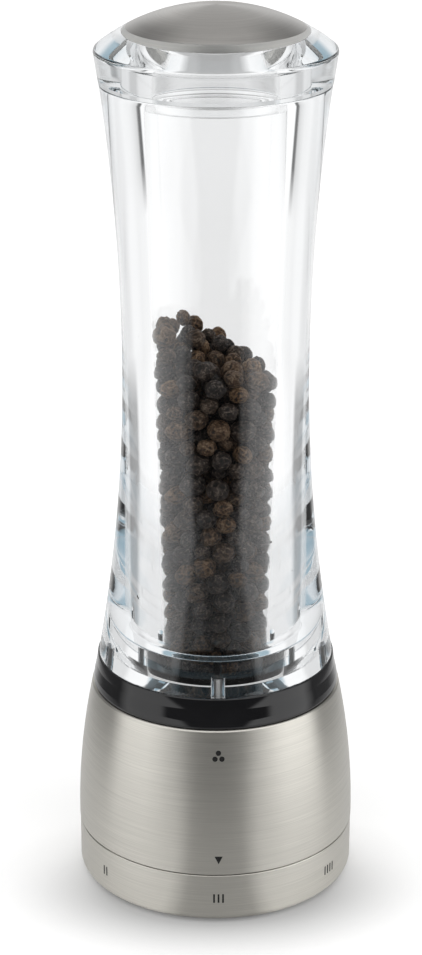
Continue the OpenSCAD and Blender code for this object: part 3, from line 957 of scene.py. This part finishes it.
def make_marks():
    """The pointer, the three dots above it, and the strokes that number the settings."""
    mark = wrapped("pointer_mark", [(POINTER, 0.0)], shell_at)
    dress(mark, MARK, "base")
    mark = wrapped("pepper_mark", [(disc(x, z, DOT_R), 0.0) for x, z in DOTS], shell_at)
    dress(mark, MARK, "base")
    strokes = []
    for number in range(1, SETTINGS + 1):
        turn = (number - SHOWN_SETTING) * SETTING_STEP
        for k in range(number):
            x = (k - (number - 1) / 2) * STROKE_PITCH
            strokes.append((bar(x, STROKE_Z, STROKE_WIDTH, STROKE_TALL), turn))
    mark = wrapped("setting_marks", strokes, lambda z: RING_R)
    dress(mark, MARK, "setting_ring")


# ---------------------------------------------------------------- studio

TENT_STRENGTH = 1.35

# Each table runs round the mill from the front (0) to the back (1), unless its comment says otherwise.
FRONT_RISE = greys((0.345, 0.11), (0.385, 0.19), (0.5, 0.0), (1.0, 0.6))  # from straight down (0) to up (1)
TENT_FRONT = greys((0.31, 0.02), (0.35, 1.0))
TENT_SIDES = greys((0.0, 1.0), (0.49, 1.0), (0.56, 0.12), (0.80, 0.12), (0.86, 0.6), (1.0, 0.6))
TENT_ROOF = greys((0.0, 1.0), (0.45, 1.0), (0.6, 0.4), (1.0, 0.4))  # from the front (0) to the back, overhead

# What shows through the clear parts, from the lowest directions to the highest.
THROUGH_DEEP = greys((0.0, 0.76), (0.86, 0.76), (0.91, 0.34), (1.0, 0.34))
THROUGH_LOW = greys(
    (0.0, 0.76), (0.62, 0.76), (0.66, 0.68), (0.74, 0.70),
    (0.82, 0.76), (0.90, 0.77), (0.96, 0.69), (1.0, 0.69),
)
THROUGH_FLAGS = greys(
    (0.0, 0.76), (0.668, 0.76), (0.684, 0.07), (0.705, 0.09), (0.725, 0.50), (0.765, 0.62),
    (0.80, 0.70), (0.845, 0.74), (0.90, 0.77), (0.96, 0.71), (1.0, 0.71),
)
THROUGH_LEVEL = greys(
    (0.0, 0.74), (0.60, 0.62), (0.75, 0.56), (0.80, 0.40), (0.88, 0.42), (0.93, 0.58), (1.0, 0.58),
)
SKY_BLUE = (0.25, 0.34, 0.39)
THROUGH_HIGH = [(0.0, SKY_BLUE), (0.56, SKY_BLUE)]
THROUGH_HIGH += greys((0.60, 0.72), (0.80, 0.72), (0.86, 0.58), (1.0, 0.58))

# How far up a direction points where one table gives way to the next: -1 is straight down and 1 straight up.
LOW_UP = (-0.40, -0.34)
FLAGS_UP = (-0.215, -0.165)
LEVEL_UP = (-0.03, 0.03)
HIGH_UP = (0.22, 0.32)
ROOF_UP = (0.50, 0.70)

FLOOR_STRETCH = (0.78, 1.25, 1.0)  # the floor's painted soft shadow is an oval
FLOOR_SHIFT = (0.0, 0.0225, 0.0)
FLOOR_SHADE = greys(  # painted soft shadow, from the mill (0) outwards, in tenths of a metre
    (0.18, 0.41), (0.20, 0.42), (0.225, 0.49), (0.25, 0.56), (0.275, 0.62),
    (0.31, 0.70), (0.35, 0.78), (0.39, 0.84), (0.50, 0.93),
)
# The floor's colour for reflections and bounced light, not for the camera: painted darker in front and
# behind.
FLOOR_MIRRORED = greys((0.0, 0.45), (0.09, 0.45), (0.15, 0.95), (0.86, 0.95), (0.93, 0.5), (1.0, 0.5))
FLOOR_END = (0.20, 0.14)  # clear to light from the first on, and solid within the second, in metres
FLOOR_HOLE = (0.0265, 0.0275)  # clear to light up to the first, at the rubber foot, and solid from the second

CAMERA_LENS = 96.1  # mm
CAMERA_DISTANCE = 0.5536  # metres from the axis
CAMERA_HEIGHT = 0.3152
CAMERA_YAW = -1.3  # degrees, like the two below
CAMERA_DOWN = 21.28
CAMERA_ASIDE = 0.112


def make_floor():
    """A pale floor, clear from below, with a soft shadow painted round the foot. To light, it is clear far
    off and under the foot.
    """
    mesh = bpy.data.meshes.new("floor")
    build = bmesh.new()
    bmesh.ops.create_grid(build, x_segments=1, y_segments=1, size=6.0)
    build.to_mesh(mesh)
    build.free()
    floor = new_object("floor", mesh)
    mat, tree, shader = new_material("floor")
    place = object_place(tree)
    parts = add(tree, "ShaderNodeSeparateXYZ", i0=place)
    far = vector_node(tree, "LENGTH", i0=place).outputs["Value"]
    oval = vector_node(tree, "MULTIPLY_ADD", i0=place, i1=FLOOR_STRETCH, i2=FLOOR_SHIFT).outputs[0]
    foot = vector_node(tree, "LENGTH", i0=oval).outputs["Value"]
    seen = add(tree, "ShaderNodeLightPath").outputs["Is Camera Ray"]
    share = away_from_front(tree, parts.outputs[0], parts.outputs[1])
    # plain: the floor's colour with the painted soft shadow round the foot, which the camera sees and which
    # also glows
    plain = ramp(tree, math_node(tree, "MULTIPLY", foot, 10.0), FLOOR_SHADE)
    # painted reflection: all but the camera see the floor darker in front and behind
    mirrored = ramp(tree, share, FLOOR_MIRRORED)
    glow = blended(tree, seen, (0.0, 0.0, 0.0, 1), plain)
    fill(shader, Base_Color=blended(tree, seen, mirrored, plain), Roughness=0.7, Specular_IOR_Level=0.1)
    fill(shader, Emission_Color=glow, Emission_Strength=0.35)
    clear = add(tree, "ShaderNodeBsdfTransparent")
    near = math_node(tree, "MULTIPLY", between(tree, far, *FLOOR_END), between(tree, far, *FLOOR_HOLE))
    above = math_node(tree, "SUBTRACT", 1.0, add(tree, "ShaderNodeNewGeometry").outputs["Backfacing"])
    solid = math_node(tree, "MULTIPLY", math_node(tree, "MAXIMUM", near, seen), above)
    mix = add(tree, "ShaderNodeMixShader", i0=solid, i1=clear.outputs[0], i2=shader.outputs[0])
    fill(tree.nodes["Material Output"], Surface=mix.outputs[0])
    floor.data.materials.append(mat)


def make_world():
    """A light tent, dark in front. The camera sees plain white, and clear parts show a tent of their own."""
    world = bpy.data.worlds.new("studio")
    bpy.context.scene.world = world
    world.use_nodes = True
    tree = world.node_tree
    way = add(tree, "ShaderNodeSeparateXYZ", i0=add(tree, "ShaderNodeTexCoord").outputs["Generated"])
    across, deep, up = way.outputs
    share = away_from_front(tree, across, deep)
    level = math_node(tree, "ADD", math_node(tree, "MULTIPLY", up, 0.5), 0.5)
    front = ramp(tree, math_node(tree, "ADD", share, ramp(tree, level, FRONT_RISE)), TENT_FRONT)
    lean = math_node(tree, "ADD", 1.0, math_node(tree, "MULTIPLY", across, 0.12))
    walls = vector_node(tree, "MULTIPLY", i0=front, i1=ramp(tree, share, TENT_SIDES))
    walls = vector_node(tree, "SCALE", i0=walls.outputs[0], Scale=lean).outputs[0]
    roof = ramp(tree, spread(tree, deep, 0.0, 1.0, -1.0), TENT_ROOF)
    tent = blended(tree, between(tree, up, *ROOF_UP), walls, roof)
    slant = math_node(tree, "MULTIPLY", math_node(tree, "ADD", up, 0.111), -0.35)
    slant = math_node(tree, "ADD", slant, math_node(tree, "MULTIPLY", across, -0.022))
    flags = ramp(tree, math_node(tree, "ADD", share, slant), THROUGH_FLAGS)
    through = ramp(tree, share, THROUGH_DEEP)
    through = blended(tree, between(tree, up, *LOW_UP), through, ramp(tree, share, THROUGH_LOW))
    through = blended(tree, between(tree, up, *FLAGS_UP), through, flags)
    through = blended(tree, between(tree, up, *LEVEL_UP), through, ramp(tree, share, THROUGH_LEVEL))
    through = vector_node(tree, "MULTIPLY", i0=front, i1=through).outputs[0]
    through = blended(tree, between(tree, up, *HIGH_UP), through, ramp(tree, share, THROUGH_HIGH))
    path = add(tree, "ShaderNodeLightPath")
    light = blended(tree, path.outputs["Is Transmission Ray"], tent, through)
    light = blended(tree, path.outputs["Is Camera Ray"], light, (1.0, 1.0, 1.0, 1))
    fill(tree.nodes["Background"], Color=light, Strength=TENT_STRENGTH)


def make_camera():
    """Looks down at the mill from the front, as the reference view does."""
    data = bpy.data.cameras.new("camera")
    data.lens = CAMERA_LENS
    data.sensor_width = 36.0
    camera = bpy.data.objects.new("camera", data)
    bpy.context.scene.collection.objects.link(camera)
    yaw = math.radians(CAMERA_YAW)
    camera.location = (CAMERA_DISTANCE * math.sin(yaw), -CAMERA_DISTANCE * math.cos(yaw), CAMERA_HEIGHT)
    camera.rotation_euler = (math.radians(90 - CAMERA_DOWN), 0.0, yaw + math.radians(CAMERA_ASIDE))
    data.clip_start = 0.05
    data.clip_end = 20.0
    bpy.context.scene.camera = camera


def set_up_render():
    """Colours as they are, and enough bounces for light to pass through the clear parts."""
    scene = bpy.context.scene
    scene.view_settings.view_transform = "Standard"
    scene.cycles.max_bounces = 32
    scene.cycles.transmission_bounces = 28
    scene.cycles.glossy_bounces = 12
    scene.cycles.transparent_max_bounces = 24
    scene.cycles.caustics_refractive = False


make_camera()
make_body()
make_lid()
make_cap()
make_shell()
make_setting_ring()
make_collar()
make_burr_spring()
make_corns()
make_hopper_corns()
make_marks()
make_floor()
make_world()
set_up_render()
